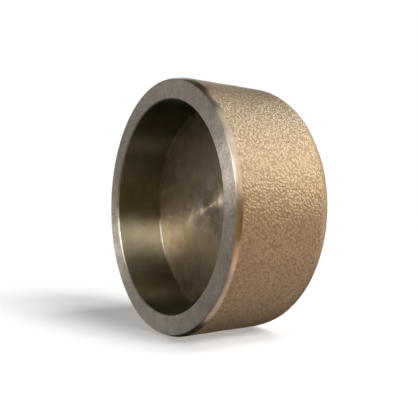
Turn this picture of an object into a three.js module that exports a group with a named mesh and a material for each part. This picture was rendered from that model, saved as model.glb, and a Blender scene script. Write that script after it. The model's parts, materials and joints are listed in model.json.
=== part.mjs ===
// Socket pipe cap: a one-piece bronze casting that closes the end of a 2 inch pipe.
//
// Units are millimetres, +Z is up. The cap lies on its side: its axis runs along Y,
// the centre of the open mouth is at the origin, the mouth faces -Y and the closed
// end faces +Y.

import * as THREE from 'three';

// Driving dimensions.
const PIPE_OUTER_RADIUS = 60.3 / 2;
const SOCKET_CLEARANCE = 0.1;
const SOCKET_DEPTH = 15.5;
const SOCKET_ROOT_FILLET = 0.6;
const MOUTH_CHAMFER = 0.4;
const WALL = 6.05;
const OVERALL_LENGTH = 32.4;
const RIM_CHAMFER_RADIAL = 0.6;
const RIM_CHAMFER_AXIAL = 1.6;
const CAST_DRAFT_DEGREES = 0.9;
const END_CORNER_RADIUS = 6.2;

// Facets.
const SEGMENTS_AROUND = 96;
const CORNER_STEPS = 10;
const FILLET_STEPS = 4;

const SOCKET_RADIUS = PIPE_OUTER_RADIUS + SOCKET_CLEARANCE;
const RIM_RADIUS = SOCKET_RADIUS + WALL;
const DRAFT = THREE.MathUtils.degToRad(CAST_DRAFT_DEGREES);

// Points on an arc about (centreRadius, centreY), both ends included. Angles are
// measured from the radial direction towards +Y.
function arc(centreRadius, centreY, radius, startAngle, endAngle, steps) {
  const points = [];
  for (let i = 0; i <= steps; i += 1) {
    const angle = THREE.MathUtils.lerp(startAngle, endAngle, i / steps);
    points.push(new THREE.Vector2(
      centreRadius + radius * Math.cos(angle),
      centreY + radius * Math.sin(angle),
    ));
  }
  return points;
}

// The as-cast outside: from the rim's chamfer along the drafted wall and round the
// corner to the middle of the closed end.
function outsideProfile() {
  const cornerCentreY = OVERALL_LENGTH - END_CORNER_RADIUS;
  const tangentY = cornerCentreY + END_CORNER_RADIUS * Math.sin(DRAFT);
  const wallRun = tangentY - RIM_CHAMFER_AXIAL;
  const tangentRadius = RIM_RADIUS - wallRun * Math.tan(DRAFT);
  const cornerCentreRadius = tangentRadius - END_CORNER_RADIUS * Math.cos(DRAFT);
  return [
    new THREE.Vector2(RIM_RADIUS - RIM_CHAMFER_RADIAL, 0),
    new THREE.Vector2(RIM_RADIUS, RIM_CHAMFER_AXIAL),
    ...arc(cornerCentreRadius, cornerCentreY, END_CORNER_RADIUS, DRAFT, Math.PI / 2, CORNER_STEPS),
    new THREE.Vector2(0, OVERALL_LENGTH),
  ];
}

// The machined inside: from the middle of the pipe stop across its flat face, round
// the root fillet, along the bore and out over the mouth's chamfer.
function socketProfile() {
  const filletCentreRadius = SOCKET_RADIUS - SOCKET_ROOT_FILLET;
  const filletCentreY = SOCKET_DEPTH - SOCKET_ROOT_FILLET;
  return [
    new THREE.Vector2(0, SOCKET_DEPTH),
    ...arc(filletCentreRadius, filletCentreY, SOCKET_ROOT_FILLET, Math.PI / 2, 0, FILLET_STEPS),
    new THREE.Vector2(SOCKET_RADIUS, MOUTH_CHAMFER),
    new THREE.Vector2(SOCKET_RADIUS + MOUTH_CHAMFER, 0),
  ];
}

// The casting: socket and outside joined by the flat mouth face, turned about Y.
function makeCapBody() {
  const profile = [...socketProfile(), ...outsideProfile()];
  const bronze = new THREE.MeshStandardMaterial({
    color: 0xb1916a,
    roughness: 0.42,
    metalness: 1,
  });
  const body = new THREE.Mesh(new THREE.LatheGeometry(profile, SEGMENTS_AROUND), bronze);
  body.name = 'cap_body';
  return body;
}

const pipeCap = new THREE.Group();
pipeCap.add(makeCapBody());

export default pipeCap;
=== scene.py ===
# Bronze socket pipe cap lying on its side on a pale studio floor.
import json
import math

import bpy
import numpy as np
from mathutils import Matrix, Vector, noise


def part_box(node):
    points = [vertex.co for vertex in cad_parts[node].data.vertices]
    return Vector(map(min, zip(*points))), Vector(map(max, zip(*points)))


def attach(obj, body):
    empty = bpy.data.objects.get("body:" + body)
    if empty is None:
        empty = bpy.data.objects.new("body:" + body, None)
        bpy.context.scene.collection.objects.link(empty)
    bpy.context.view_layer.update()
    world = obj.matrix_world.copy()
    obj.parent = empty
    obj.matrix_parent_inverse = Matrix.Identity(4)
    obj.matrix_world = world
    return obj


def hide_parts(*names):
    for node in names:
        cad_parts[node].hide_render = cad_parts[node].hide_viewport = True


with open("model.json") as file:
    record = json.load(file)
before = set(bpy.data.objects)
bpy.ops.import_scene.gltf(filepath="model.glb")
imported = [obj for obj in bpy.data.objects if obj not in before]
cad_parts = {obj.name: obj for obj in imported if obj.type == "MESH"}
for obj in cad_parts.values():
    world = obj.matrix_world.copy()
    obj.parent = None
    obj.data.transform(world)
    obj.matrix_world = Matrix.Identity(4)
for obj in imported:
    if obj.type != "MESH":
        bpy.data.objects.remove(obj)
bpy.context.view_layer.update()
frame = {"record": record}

MM = 0.001

# ---------------------------------------------------------------- sizes
# The outside comes from the CAD node's box; the socket's sizes repeat the CAD part's.
low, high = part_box("cap_body")
RIM_RADIUS = (high.x - low.x) / 2
LENGTH = high.y - low.y
mount_place = {m["name"]: m["pos_m"] for m in frame["record"]["mounts"]}
SOCKET_DEPTH = mount_place["pipe_stop"][1]
SOCKET_RADIUS = 30.25 * MM
MOUTH_CHAMFER = 0.4 * MM
ROOT_FILLET = 0.6 * MM
RIM_CHAMFER_RADIAL = 0.6 * MM
RIM_CHAMFER_AXIAL = 1.6 * MM
CORNER_RADIUS = 6.2 * MM
DRAFT = math.radians(0.9)
# A turned edge is cut back by this much both ways, with a point between the two cuts.
EDGE_BREAK = 0.12 * MM
EDGE_BULGE = 0.29
# Where one finish ends and the next begins, past the edge or the plane that each follows.
FACE_LIMIT = 0.7 * EDGE_BREAK
FINISH_MARGIN = 0.1 * MM
STOP_MARGIN = 0.02 * MM
WALL_MARGIN = 3.0 * MM

# ---------------------------------------------------------------- mesh density
# Points round the rim, halved on small rings, and the steps along the profile.
SEGMENTS = 560
FEWEST_SEGMENTS = SEGMENTS / 8
THIN_OUT_BELOW = 0.62
FILLET_STEPS = 5
CAST_STEP = 0.41 * MM
TURNED_STEP = 1.1 * MM
SHORTEST_STEP = 0.002 * MM

# ---------------------------------------------------------------- cast grain
# Sizes across and greatest depths of the sand grain and of the slower lumps.
GRAIN_SIZE = 1.2 * MM
GRAIN_DEPTH = 0.042 * MM
LUMP_SIZE = 5.5 * MM
LUMP_DEPTH = 0.070 * MM
GRAIN_FADE = 0.5 * MM
NOISE_OFFSET = Vector((17.3, 4.1, 29.7))


def arc(centre_r, centre_y, radius, start, end, steps):
    """Points on an arc in the profile plane; angles run from the radial direction to +Y."""
    angles = np.linspace(start, end, steps + 1)
    return [(centre_r + radius * math.cos(a), centre_y + radius * math.sin(a)) for a in angles]


def divided(start, end, step):
    """The straight run from start to end, cut into pieces no longer than step."""
    count = max(1, math.ceil(math.dist(start, end) / step))
    shares = np.linspace(0, 1, count + 1)
    run_r, run_y = end[0] - start[0], end[1] - start[1]
    return [(start[0] + run_r * s, start[1] + run_y * s) for s in shares]


def broken_corner(before, corner, after):
    """The corner with its edge broken: three points on a small curve instead of one."""
    corner_v = Vector(corner)
    towards_before = (Vector(before) - corner_v).normalized() * EDGE_BREAK
    towards_after = (Vector(after) - corner_v).normalized() * EDGE_BREAK
    middle = corner_v + (towards_before + towards_after) * EDGE_BULGE
    return [tuple(corner_v + towards_before), tuple(middle), tuple(corner_v + towards_after)]


def cap_profile():
    """Points (radius, distance behind the mouth) from the pipe stop's middle, out round the
    mouth and back along the outside to the closed end's middle."""
    stop_edge = (SOCKET_RADIUS - ROOT_FILLET, SOCKET_DEPTH)
    bore_lip = (SOCKET_RADIUS, MOUTH_CHAMFER)
    face_inner = (SOCKET_RADIUS + MOUTH_CHAMFER, 0.0)
    face_outer = (RIM_RADIUS - RIM_CHAMFER_RADIAL, 0.0)
    rim = (RIM_RADIUS, RIM_CHAMFER_AXIAL)
    corner_y = LENGTH - CORNER_RADIUS
    tangent_y = corner_y + CORNER_RADIUS * math.sin(DRAFT)
    tangent_r = RIM_RADIUS - (tangent_y - RIM_CHAMFER_AXIAL) * math.tan(DRAFT)
    corner_r = tangent_r - CORNER_RADIUS * math.cos(DRAFT)
    corner_steps = round(CORNER_RADIUS * (math.pi / 2 - DRAFT) / CAST_STEP)

    points = divided((0.0, SOCKET_DEPTH), stop_edge, TURNED_STEP)
    fillet_y = SOCKET_DEPTH - ROOT_FILLET
    points += arc(stop_edge[0], fillet_y, ROOT_FILLET, math.pi / 2, 0, FILLET_STEPS)
    lip = broken_corner(points[-1], bore_lip, face_inner)
    points += divided(points[-1], lip[0], TURNED_STEP) + lip
    inner_edge = broken_corner(bore_lip, face_inner, face_outer)
    points += inner_edge
    outer_edge = broken_corner(face_inner, face_outer, rim)
    points += divided(inner_edge[-1], outer_edge[0], TURNED_STEP) + outer_edge
    points += divided(outer_edge[-1], rim, 2 * CAST_STEP)
    points += divided(rim, (tangent_r, tangent_y), CAST_STEP)
    points += arc(corner_r, corner_y, CORNER_RADIUS, DRAFT, math.pi / 2, corner_steps)
    points += divided((corner_r, LENGTH), (0.0, LENGTH), CAST_STEP)
    unique = [points[0]]
    for p in points[1:]:
        if math.dist(p, unique[-1]) > SHORTEST_STEP:
            unique.append(p)
    return unique


def segments_at(radius):
    """Points round a ring: halved each time the radius about halves."""
    count = SEGMENTS
    while count > FEWEST_SEGMENTS and radius < RIM_RADIUS * THIN_OUT_BELOW * count / SEGMENTS:
        count //= 2
    return count


CAST, FACED, BORED, STOP, RIM, LIP = range(6)


def finish_at(r, y):
    """Which finish the surface has at this radius and distance behind the mouth."""
    outside = r > SOCKET_RADIUS + WALL_MARGIN
    if y > SOCKET_DEPTH + FINISH_MARGIN or (outside and y > RIM_CHAMFER_AXIAL):
        return CAST
    if y > SOCKET_DEPTH - STOP_MARGIN:
        return STOP
    if y < FACE_LIMIT:
        return FACED
    if r > RIM_RADIUS - RIM_CHAMFER_RADIAL - EDGE_BREAK:
        return RIM
    return LIP if y < MOUTH_CHAMFER else BORED


def ring_faces(a_start, a_count, b_start, b_count):
    """Faces between two rings, one of which may have half the points of the other."""
    faces = []
    if a_count == b_count:
        for k in range(a_count):
            n = (k + 1) % a_count
            faces.append((a_start + k, a_start + n, b_start + n, b_start + k))
    elif a_count == 2 * b_count:
        for k in range(b_count):
            n = (k + 1) % b_count
            left, mid = a_start + 2 * k, a_start + 2 * k + 1
            right = a_start + (2 * k + 2) % a_count
            this, after = b_start + k, b_start + n
            faces += [(left, mid, this), (mid, after, this), (mid, right, after)]
    else:
        for k in range(a_count):
            n = (k + 1) % a_count
            left, mid = b_start + 2 * k, b_start + 2 * k + 1
            right = b_start + (2 * k + 2) % b_count
            this, after = a_start + k, a_start + n
            faces += [(this, mid, left), (this, after, mid), (after, right, mid)]
    return faces


def build_cap():
    """The whole casting as one mesh: rings round the Y axis, each face with its finish."""
    profile = cap_profile()
    vertices = [(0.0, profile[0][1], 0.0)]
    rings = []
    for r, y in profile[1:-1]:
        count = segments_at(r)
        rings.append((len(vertices), count, r, y))
        for k in range(count):
            angle = 2 * math.pi * k / count
            vertices.append((r * math.sin(angle), y, r * math.cos(angle)))
    vertices.append((0.0, profile[-1][1], 0.0))

    start, count = rings[0][:2]
    faces = [(0, start + (k + 1) % count, start + k) for k in range(count)]
    slots = [STOP] * count
    for (a_start, a_count, a_r, a_y), (b_start, b_count, b_r, b_y) in zip(rings, rings[1:]):
        made = ring_faces(a_start, a_count, b_start, b_count)
        faces += made
        slots += [finish_at((a_r + b_r) / 2, (a_y + b_y) / 2)] * len(made)
    start, count = rings[-1][:2]
    last = len(vertices) - 1
    faces += [(last, start + k, start + (k + 1) % count) for k in range(count)]
    slots += [CAST] * count

    mesh = bpy.data.meshes.new("cap_casting")
    mesh.from_pydata(vertices, [], faces)
    mesh.polygons.foreach_set("material_index", slots)
    mesh.polygons.foreach_set("use_smooth", [True] * len(faces))
    mesh.update()
    add_grain(mesh)
    mesh.validate()
    piece = bpy.data.objects.new("cap_casting", mesh)
    bpy.context.collection.objects.link(piece)
    return piece


def add_grain(mesh):
    """Moves the cast skin in and out along its normals: sand grain over slow lumps."""
    count = len(mesh.vertices)
    places = np.empty(count * 3)
    normals = np.empty(count * 3)
    mesh.vertices.foreach_get("co", places)
    mesh.vertices.foreach_get("normal", normals)
    places = places.reshape(-1, 3)
    normals = normals.reshape(-1, 3)
    for i in range(count):
        x, y, z = places[i]
        radius = math.hypot(x, z)
        if finish_at(radius, y) != CAST:
            continue
        fade = min(1.0, (y - RIM_CHAMFER_AXIAL) / GRAIN_FADE)
        place = Vector((x, y, z))
        grain = noise.noise(place / GRAIN_SIZE + NOISE_OFFSET)
        lump = noise.noise(place / LUMP_SIZE + NOISE_OFFSET)
        push = grain * GRAIN_DEPTH + lump * LUMP_DEPTH
        places[i] += normals[i] * push * fade
    mesh.vertices.foreach_set("co", places.ravel())
    mesh.update()


# ---------------------------------------------------------------- material helpers
def new_material(name):
    """A new material, with its node tree and its shader."""
    material = bpy.data.materials.new(name)
    material.use_nodes = True
    tree = material.node_tree
    return material, tree, tree.nodes["Principled BSDF"]


def object_place(tree):
    """The point's place on the piece, in metres."""
    return tree.nodes.new("ShaderNodeTexCoord").outputs["Object"]


def noise_texture(tree, vector, scale, detail, roughness, distortion=0.0):
    made = tree.nodes.new("ShaderNodeTexNoise")
    made.inputs["Scale"].default_value = scale
    made.inputs["Detail"].default_value = detail
    made.inputs["Roughness"].default_value = roughness
    made.inputs["Distortion"].default_value = distortion
    tree.links.new(vector, made.inputs["Vector"])
    return made.outputs["Fac"]


def ramp(tree, value, stops):
    """Colours by value; stops are (value, colour)."""
    made = tree.nodes.new("ShaderNodeValToRGB")
    elements = made.color_ramp.elements
    while len(elements) < len(stops):
        elements.new(0.5)
    for element, (place, colour) in zip(elements, stops):
        element.position = place
        element.color = (*colour, 1.0)
    tree.links.new(value, made.inputs["Fac"])
    return made.outputs["Color"]


def stained_with(tree, amount, colour, stain):
    """The colour, turning into the stain's as amount goes from 0 to 1."""
    made = tree.nodes.new("ShaderNodeMix")
    made.data_type = "RGBA"
    tree.links.new(amount, made.inputs["Factor"])
    tree.links.new(colour, made.inputs[6])
    made.inputs[7].default_value = (*stain, 1.0)
    return made.outputs[2]


def scaled(tree, value, low_out, high_out, low_in=0.0, high_in=1.0):
    """The value moved from the in range to the out range, and kept inside it."""
    made = tree.nodes.new("ShaderNodeMapRange")
    made.inputs["From Min"].default_value = low_in
    made.inputs["From Max"].default_value = high_in
    made.inputs["To Min"].default_value = low_out
    made.inputs["To Max"].default_value = high_out
    tree.links.new(value, made.inputs["Value"])
    return made.outputs["Result"]


def blended(tree, a, b, share):
    """a and b mixed as numbers, with this share of b."""
    made = tree.nodes.new("ShaderNodeMix")
    made.inputs["Factor"].default_value = share
    tree.links.new(a, made.inputs[2])
    tree.links.new(b, made.inputs[3])
    return made.outputs[0]


def bump(tree, height, distance, normal=None):
    made = tree.nodes.new("ShaderNodeBump")
    made.inputs["Distance"].default_value = distance
    made.inputs["Strength"].default_value = 1.0
    tree.links.new(height, made.inputs["Height"])
    if normal is not None:
        tree.links.new(normal, made.inputs["Normal"])
    return made.outputs["Normal"]


def pebbles(tree, vector, scale):
    """Rounded grains: 1 at the top of each, falling to 0 in the gaps between them."""
    made = tree.nodes.new("ShaderNodeTexVoronoi")
    made.feature = "SMOOTH_F1"
    made.inputs["Scale"].default_value = scale
    made.inputs["Smoothness"].default_value = 0.5
    tree.links.new(vector, made.inputs["Vector"])
    return scaled(tree, made.outputs["Distance"], 1.0, 0.0, low_in=0.1, high_in=0.75)


def distance_from(tree, place, point):
    made = tree.nodes.new("ShaderNodeVectorMath")
    made.operation = "DISTANCE"
    made.inputs[1].default_value = point
    tree.links.new(place, made.inputs[0])
    return made.outputs["Value"]


def times_plus(tree, value, factor, plus):
    """value * factor + plus, where factor is a number and plus a socket."""
    made = tree.nodes.new("ShaderNodeMath")
    made.operation = "MULTIPLY_ADD"
    made.inputs[1].default_value = factor
    tree.links.new(value, made.inputs[0])
    tree.links.new(plus, made.inputs[2])
    return made.outputs["Value"]


# ---------------------------------------------------------------- materials
# Noise and pebble scales count features per metre.
RIM_STAIN_PLACE = (19.3 * MM, 1.6 * MM, 31.0 * MM)
RIM_STAIN_COLOUR = (0.40, 0.20, 0.11)
RIM_STAIN_FULL = 3.5 * MM
RIM_STAIN_END = 6.5 * MM
RIM_STAIN_RAGGED = 5.0 * MM
GRIT_BUMP = 0.15 * MM
CLOUD_FULL = 3.0 * MM
CLOUD_END = 15.0 * MM
CLOUD_COLOUR = (0.76, 0.64, 0.53)
CLOUD_DULLING = 0.10


def with_rim_stain(tree, place, colour):
    """The colour with one reddish-brown blotch near the top of the rim."""
    raggedness = noise_texture(tree, place, 500.0, 3.0, 0.6)
    away = distance_from(tree, place, RIM_STAIN_PLACE)
    edge = times_plus(tree, raggedness, RIM_STAIN_RAGGED, away)
    amount = scaled(tree, edge, 0.65, 0.0, low_in=RIM_STAIN_FULL, high_in=RIM_STAIN_END)
    return stained_with(tree, amount, colour, RIM_STAIN_COLOUR)


def cast_skin():
    """Sand-cast bronze: golden tan metal with a fine pebbled grain and faint stains."""
    material, tree, shader = new_material("bronze_cast_skin")
    place = object_place(tree)
    grit = noise_texture(tree, place, 1300.0, 3.0, 0.65)
    relief = blended(tree, pebbles(tree, place, 1500.0), grit, share=0.45)
    patches = noise_texture(tree, place, 90.0, 3.0, 0.5)
    blotches = noise_texture(tree, place, 45.0, 4.0, 0.6, distortion=0.6)
    tone = ramp(tree, relief, [
        (0.28, (0.55, 0.375, 0.21)),
        (0.46, (0.69, 0.50, 0.315)),
        (0.68, (0.76, 0.575, 0.385)),
    ])
    reddish = scaled(tree, patches, 0.0, 0.5, low_in=0.45, high_in=0.75)
    warm = stained_with(tree, reddish, tone, (0.62, 0.42, 0.30))
    brown = scaled(tree, blotches, 0.0, 0.6, low_in=0.62, high_in=0.80)
    colour = stained_with(tree, brown, warm, (0.36, 0.22, 0.12))
    roughness = scaled(tree, relief, 0.50, 0.42, low_in=0.35, high_in=0.65)
    tree.links.new(with_rim_stain(tree, place, colour), shader.inputs["Base Color"])
    shader.inputs["Metallic"].default_value = 1.0
    tree.links.new(roughness, shader.inputs["Roughness"])
    tree.links.new(bump(tree, relief, GRIT_BUMP), shader.inputs["Normal"])
    return material


def groove_noise(tree, place):
    """Noise that is even all round the Y axis, as a lathe's grooves are."""
    split = tree.nodes.new("ShaderNodeSeparateXYZ")
    tree.links.new(place, split.inputs["Vector"])
    across = tree.nodes.new("ShaderNodeCombineXYZ")
    tree.links.new(split.outputs["X"], across.inputs["X"])
    tree.links.new(split.outputs["Z"], across.inputs["Z"])
    radius = tree.nodes.new("ShaderNodeVectorMath")
    radius.operation = "LENGTH"
    tree.links.new(across.outputs["Vector"], radius.inputs[0])
    rings = tree.nodes.new("ShaderNodeCombineXYZ")
    tree.links.new(radius.outputs["Value"], rings.inputs["X"])
    tree.links.new(split.outputs["Y"], rings.inputs["Y"])
    return noise_texture(tree, rings.outputs["Vector"], 7000.0, 3.0, 0.6)


def turned_bronze(name, dark, light, roughness, spread, anisotropy, groove, speckle=0.0):
    """Lathe-turned bronze: fine rings round the axis, mottled from dark to light.

    The roughness varies by spread either way. speckle is how much of the mottling is fine.
    """
    material, tree, shader = new_material(name)
    place = object_place(tree)
    patches = noise_texture(tree, place, 260.0, 4.0, 0.6)
    fine = noise_texture(tree, place, 1300.0, 2.0, 0.6)
    mottle = blended(tree, patches, fine, speckle)
    colour = ramp(tree, mottle, [(0.3, dark), (0.7, light)])
    dullness = scaled(tree, mottle, roughness - spread, roughness + spread, 0.3, 0.7)
    normal = bump(tree, groove_noise(tree, place), groove)
    if speckle:
        normal = bump(tree, fine, 6 * groove * speckle, normal)
    tangent = tree.nodes.new("ShaderNodeTangent")
    tangent.direction_type = "RADIAL"
    tangent.axis = "Y"
    tree.links.new(colour, shader.inputs["Base Color"])
    shader.inputs["Metallic"].default_value = 1.0
    tree.links.new(dullness, shader.inputs["Roughness"])
    shader.inputs["Anisotropic"].default_value = anisotropy
    shader.inputs["Anisotropic Rotation"].default_value = 0.25
    tree.links.new(tangent.outputs["Tangent"], shader.inputs["Tangent"])
    tree.links.new(normal, shader.inputs["Normal"])
    return material


def bored_bronze():
    """The socket's bore: the smoothest cut."""
    return turned_bronze(
        "bronze_bored", dark=(0.26, 0.235, 0.17), light=(0.33, 0.305, 0.22),
        roughness=0.31, spread=0.02, anisotropy=1.0, groove=0.002 * MM,
    )


def stop_bronze():
    """The pipe stop at the bottom of the socket: faced, with a pale cloud in its middle."""
    material = turned_bronze(
        "bronze_stop", dark=(0.41, 0.31, 0.20), light=(0.58, 0.44, 0.285),
        roughness=0.44, spread=0.06, anisotropy=0.86, groove=0.003 * MM,
    )
    tree = material.node_tree
    shader = tree.nodes["Principled BSDF"]
    place = object_place(tree)
    away = distance_from(tree, place, (0.0, SOCKET_DEPTH, 0.0))
    middle = scaled(tree, away, 1.0, 0.0, low_in=CLOUD_FULL, high_in=CLOUD_END)
    wisps = noise_texture(tree, place, 190.0, 5.0, 0.65, distortion=0.8)
    amount = tree.nodes.new("ShaderNodeMath")
    amount.operation = "MULTIPLY"
    tree.links.new(middle, amount.inputs[0])
    tree.links.new(scaled(tree, wisps, 0.0, 1.0, low_in=0.46, high_in=0.62), amount.inputs[1])
    cloud = amount.outputs["Value"]
    plain_colour = shader.inputs["Base Color"].links[0].from_socket
    plain_roughness = shader.inputs["Roughness"].links[0].from_socket
    clouded = stained_with(tree, cloud, plain_colour, CLOUD_COLOUR)
    duller = times_plus(tree, cloud, CLOUD_DULLING, plain_roughness)
    tree.links.new(clouded, shader.inputs["Base Color"])
    tree.links.new(duller, shader.inputs["Roughness"])
    return material


def faced_bronze():
    """The mouth face."""
    return turned_bronze(
        "bronze_faced", dark=(0.46, 0.39, 0.32), light=(0.97, 0.85, 0.71),
        roughness=0.48, spread=0.07, anisotropy=0.82, groove=0.004 * MM, speckle=0.5,
    )


def rim_bronze():
    """The chamfer round the outside of the mouth face: cut last and still bright."""
    material = turned_bronze(
        "bronze_rim", dark=(0.62, 0.44, 0.28), light=(0.90, 0.65, 0.47),
        roughness=0.31, spread=0.04, anisotropy=0.7, groove=0.003 * MM, speckle=0.3,
    )
    tree = material.node_tree
    shader = tree.nodes["Principled BSDF"]
    plain_colour = shader.inputs["Base Color"].links[0].from_socket
    stained = with_rim_stain(tree, object_place(tree), plain_colour)
    tree.links.new(stained, shader.inputs["Base Color"])
    return material


def lip_bronze():
    """The small chamfer into the socket."""
    return turned_bronze(
        "bronze_lip", dark=(0.50, 0.45, 0.37), light=(0.66, 0.60, 0.50),
        roughness=0.42, spread=0.04, anisotropy=0.7, groove=0.003 * MM,
    )


# ---------------------------------------------------------------- camera
# The camera's place is given from the mouth's centre, in rim radii along the view.
CAMERA_AZIMUTH = 56.95
CAMERA_ELEVATION = -0.583
CAMERA_LENS = 50.5
MOUTH_AHEAD = 4.563
MOUTH_ASIDE = -0.3632
MOUTH_ABOVE = 0.0157


def direction(azimuth, elevation):
    """The unit vector at these degrees round from -Y towards +X, and up."""
    a, e = math.radians(azimuth), math.radians(elevation)
    return Vector((math.sin(a) * math.cos(e), -math.cos(a) * math.cos(e), math.sin(e)))


def add_camera():
    """The camera, almost level with the cap's axis, with the mouth left of the middle."""
    camera = bpy.data.objects.new("camera", bpy.data.cameras.new("camera"))
    bpy.context.collection.objects.link(camera)
    turn = math.radians(CAMERA_AZIMUTH)
    back = direction(CAMERA_AZIMUTH, CAMERA_ELEVATION)
    right = Vector((math.cos(turn), math.sin(turn), 0.0))
    up = back.cross(right)
    from_mouth = back * MOUTH_AHEAD - right * MOUTH_ASIDE - up * MOUTH_ABOVE
    camera.location = from_mouth * RIM_RADIUS
    camera.rotation_euler = back.to_track_quat("Z", "Y").to_euler()
    camera.data.lens = CAMERA_LENS
    camera.data.clip_start = 0.01
    bpy.context.scene.camera = camera


# ---------------------------------------------------------------- stage
FLOOR_HALF = 8.0
FLOOR_GLOW = 0.32
ROOM_GLOW = 0.068
ROOM_GLOW_BELOW = 0.15 * ROOM_GLOW
# The card that keeps the socket's lights off the upper wall: part of a ring, in degrees
# round the axis from +X up to +Z, its radii, and how far it stands before the mouth.
FLAG_TURNS = range(48, 181, 4)
FLAG_INNER = 38.5 * MM
FLAG_OUTER = 100.0 * MM
FLAG_AHEAD = 3.0 * MM


def add_floor():
    """A pale floor under the cap, which the camera sees and the cap doesn't."""
    corners = [(-1, -1), (1, -1), (1, 1), (-1, 1)]
    mesh = bpy.data.meshes.new("floor")
    vertices = [(x * FLOOR_HALF, y * FLOOR_HALF, low.z) for x, y in corners]
    mesh.from_pydata(vertices, [], [(0, 1, 2, 3)])
    floor = bpy.data.objects.new("floor", mesh)
    bpy.context.collection.objects.link(floor)
    material, tree, shader = new_material("studio_floor")
    shader.inputs["Base Color"].default_value = (0.8, 0.8, 0.8, 1.0)
    shader.inputs["Roughness"].default_value = 1.0
    shader.inputs["Specular IOR Level"].default_value = 0.0
    shader.inputs["Emission Color"].default_value = (1.0, 1.0, 1.0, 1.0)
    shader.inputs["Emission Strength"].default_value = FLOOR_GLOW
    mesh.materials.append(material)
    floor.visible_diffuse = False
    floor.visible_glossy = False
    floor.visible_shadow = False
    return floor


def add_flag():
    """An unseen card past the top of the mouth, which only casts shadow."""
    vertices = []
    for degrees in FLAG_TURNS:
        t = math.radians(degrees)
        for radius in (FLAG_INNER, FLAG_OUTER):
            vertices.append((radius * math.cos(t), -FLAG_AHEAD, radius * math.sin(t)))
    starts = range(0, len(vertices) - 2, 2)
    mesh = bpy.data.meshes.new("socket_flag")
    mesh.from_pydata(vertices, [], [(i, i + 1, i + 3, i + 2) for i in starts])
    flag = bpy.data.objects.new("socket_flag", mesh)
    bpy.context.collection.objects.link(flag)
    flag.visible_camera = False
    flag.visible_diffuse = False
    flag.visible_glossy = False
    flag.visible_transmission = False
    flag.visible_volume_scatter = False
    return flag


def group_of(name, *things):
    """A collection outside the scene, for a light to name what it lights or is shaded by."""
    group = bpy.data.collections.new(name)
    for thing in things:
        group.objects.link(thing)
    return group


def put_light(light, rotation, lit, shaded_by):
    """Adds a light with that rotation, lighting one group and shaded by another."""
    light.rotation_euler = rotation
    light.light_linking.receiver_collection = lit
    light.light_linking.blocker_collection = shaded_by
    light.visible_camera = False
    bpy.context.collection.objects.link(light)


def area_light(name, width, height, radiance, tint):
    """A rectangular light that looks equally bright whatever its size."""
    light = bpy.data.objects.new(name, bpy.data.lights.new(name, "AREA"))
    light.data.shape = "RECTANGLE"
    light.data.size = width
    light.data.size_y = height
    light.data.energy = radiance * math.pi * width * height
    light.data.color = tint
    return light


def add_softbox(name, turn, along, spread, length, radiance, tint, lit, shaded_by):
    """A flat softbox that faces the cap's axis.

    turn is the angle round the axis from +X up to +Z, along is its place along the axis
    from the cap's middle, and spread is the angle that its width fills from the axis.
    """
    t = math.radians(turn)
    out = Vector((math.cos(t), 0.0, math.sin(t)))
    axis = Vector((0.0, 1.0, 0.0))
    width = 2 * LIGHT_DISTANCE * math.tan(math.radians(spread / 2))
    light = area_light(name, width, length, radiance, tint)
    light.location = out * LIGHT_DISTANCE + axis * (LENGTH / 2 + along)
    rotation = Matrix((axis.cross(out), axis, out)).transposed().to_euler()
    put_light(light, rotation, lit, shaded_by)


def add_panel(name, azimuth, elevation, width, height, radiance, tint, lit, shaded_by):
    """A flat light that faces the cap's middle, placed by azimuth like the camera."""
    out = direction(azimuth, elevation)
    light = area_light(name, width, height, radiance, tint)
    light.location = out * LIGHT_DISTANCE + Vector((0.0, LENGTH / 2, 0.0))
    put_light(light, out.to_track_quat("Z", "Y").to_euler(), lit, shaded_by)


def add_sun(name, azimuth, elevation, strength, softness, lit, shaded_by):
    light = bpy.data.objects.new(name, bpy.data.lights.new(name, "SUN"))
    light.data.energy = strength
    light.data.angle = math.radians(softness)
    rotation = direction(azimuth, elevation).to_track_quat("Z", "Y").to_euler()
    put_light(light, rotation, lit, shaded_by)


def add_world():
    """A dim even studio round the cap; the camera sees plain white behind it."""
    world = bpy.data.worlds.new("studio")
    bpy.context.scene.world = world
    world.use_nodes = True
    tree = world.node_tree
    backdrop = tree.nodes["Background"]
    backdrop.inputs["Color"].default_value = (1.0, 1.0, 1.0, 1.0)
    backdrop.inputs["Strength"].default_value = 1.0
    room = tree.nodes.new("ShaderNodeBackground")
    room.inputs["Color"].default_value = (1.0, 1.0, 1.0, 1.0)
    towards = tree.nodes.new("ShaderNodeSeparateXYZ")
    sky_place = tree.nodes.new("ShaderNodeTexCoord").outputs["Generated"]
    tree.links.new(sky_place, towards.inputs["Vector"])
    glow = scaled(tree, towards.outputs["Z"], ROOM_GLOW_BELOW, ROOM_GLOW, -0.3, 0.1)
    tree.links.new(glow, room.inputs["Strength"])
    path = tree.nodes.new("ShaderNodeLightPath")
    choose = tree.nodes.new("ShaderNodeMixShader")
    tree.links.new(path.outputs["Is Camera Ray"], choose.inputs["Fac"])
    tree.links.new(room.outputs["Background"], choose.inputs[1])
    tree.links.new(backdrop.outputs["Background"], choose.inputs[2])
    tree.links.new(choose.outputs["Shader"], tree.nodes["World Output"].inputs["Surface"])


# ---------------------------------------------------------------- lights
# Each area light is this far out from the cap's axis or middle, in metres.
LIGHT_DISTANCE = 0.6
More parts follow.
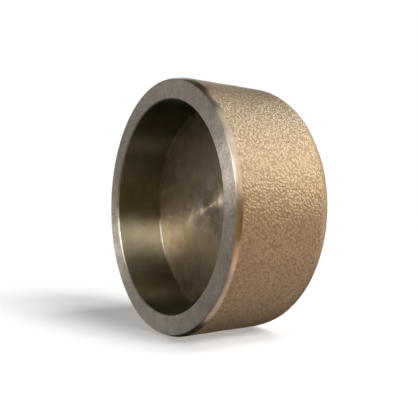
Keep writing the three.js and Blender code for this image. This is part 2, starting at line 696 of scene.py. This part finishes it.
# name, turn, along, spread, length, radiance, tint
SOFTBOXES = (
    ("side_low", 21, 0.42, 24, 1.16, 0.75, (0.99, 0.99, 0.84)),
    ("side_mid", 45, 0.42, 24, 1.16, 0.86, (0.90, 1.03, 1.15)),
    ("side_high", 69, 0.42, 24, 1.16, 0.77, (0.90, 1.03, 1.10)),
    ("back_low", 9, 0.66, 24, 0.40, 0.85, (1.03, 1.0, 0.72)),
    ("back_mid", 33, 0.66, 24, 0.40, 1.25, (1.03, 1.0, 0.86)),
    ("back_high", 57, 0.66, 24, 0.40, 1.25, (1.03, 1.0, 0.88)),
    ("near", 33, 0.0, 24, 0.32, 0.12, (0.99, 1.0, 1.12)),
    ("socket_warm", -20, -0.40, 34, 0.34, 0.30, (1.25, 1.0, 0.5)),
    ("lip", 36, -0.80, 60, 0.40, 0.20, (1.0, 1.0, 1.0)),
    ("lip_low", -75, -0.80, 80, 0.50, 0.30, (1.0, 1.0, 0.95)),
    ("warm", -10, 0.1, 32, 1.4, 0.09, (1.40, 0.92, 0.2)),
    ("under", -39, 0.42, 24, 1.16, 0.52, (1.14, 0.95, 0.84)),
    ("below", -81, 0.55, 50, 1.0, 0.29, (1.06, 1.0, 0.96)),
    ("rim_low", -70, 0.03, 60, 0.16, 0.65, (0.98, 1.0, 1.06)),
    ("left_back", 162.5, 0.26, 50, 0.4, 1.405, (0.92, 1.02, 1.14)),
    ("top", 99, 0.58, 12, 0.84, 1.2, (0.92, 1.03, 1.04)),
    ("top_back", 99, 0.72, 12, 0.40, 3.3, (0.93, 1.02, 1.13)),
)
# The same, for the strong lights that reach into the socket past the card.
SOCKET_SOFTBOXES = (
    ("socket_key", 33, -0.52, 24, 0.24, 15.5, (0.98, 1.0, 1.04)),
    ("socket_edge", 52, -0.52, 12, 0.24, 7.5, (0.95, 1.0, 1.20)),
)
# name, azimuth, elevation, width, height, radiance, tint
PANELS = (
    ("front_key", 20, 26, 0.34, 0.34, 1.74, (1.0, 1.0, 0.90)),
    ("front_fill", -50, 2, 0.95, 0.80, 0.255, (0.99, 1.0, 1.02)),
    ("behind", 172, 6, 0.50, 0.70, 0.66, (1.0, 1.0, 0.95)),
)
# name, azimuth, elevation, strength, softness in degrees
FLOOR_SUNS = (
    ("floor_sun_low", 101, 36, 2.43, 23),
    ("floor_sun_high", 115, 60, 1.28, 22),
)


def add_lights(cap, floor):
    """Area lights for the cap alone and suns for the floor alone."""
    on_cap = group_of("lit_with_cap", cap)
    on_floor = group_of("lit_with_floor", floor)
    shaded_by_cap = group_of("shaded_by_cap", cap)
    shaded_by_flag_too = group_of("shaded_by_cap_and_flag", cap, add_flag())
    for settings in SOFTBOXES:
        add_softbox(*settings, on_cap, shaded_by_cap)
    for settings in SOCKET_SOFTBOXES:
        add_softbox(*settings, on_cap, shaded_by_flag_too)
    for settings in PANELS:
        add_panel(*settings, on_cap, shaded_by_cap)
    for settings in FLOOR_SUNS:
        add_sun(*settings, on_floor, shaded_by_cap)


# ---------------------------------------------------------------- the scene
add_camera()
cap = build_cap()
# In the order of the finishes' slots.
for make_finish in (cast_skin, faced_bronze, bored_bronze, stop_bronze, rim_bronze, lip_bronze):
    cap.data.materials.append(make_finish())
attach(cap, "root")
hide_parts("cap_body")
add_lights(cap, add_floor())
add_world()
bpy.context.scene.view_settings.view_transform = "Standard"
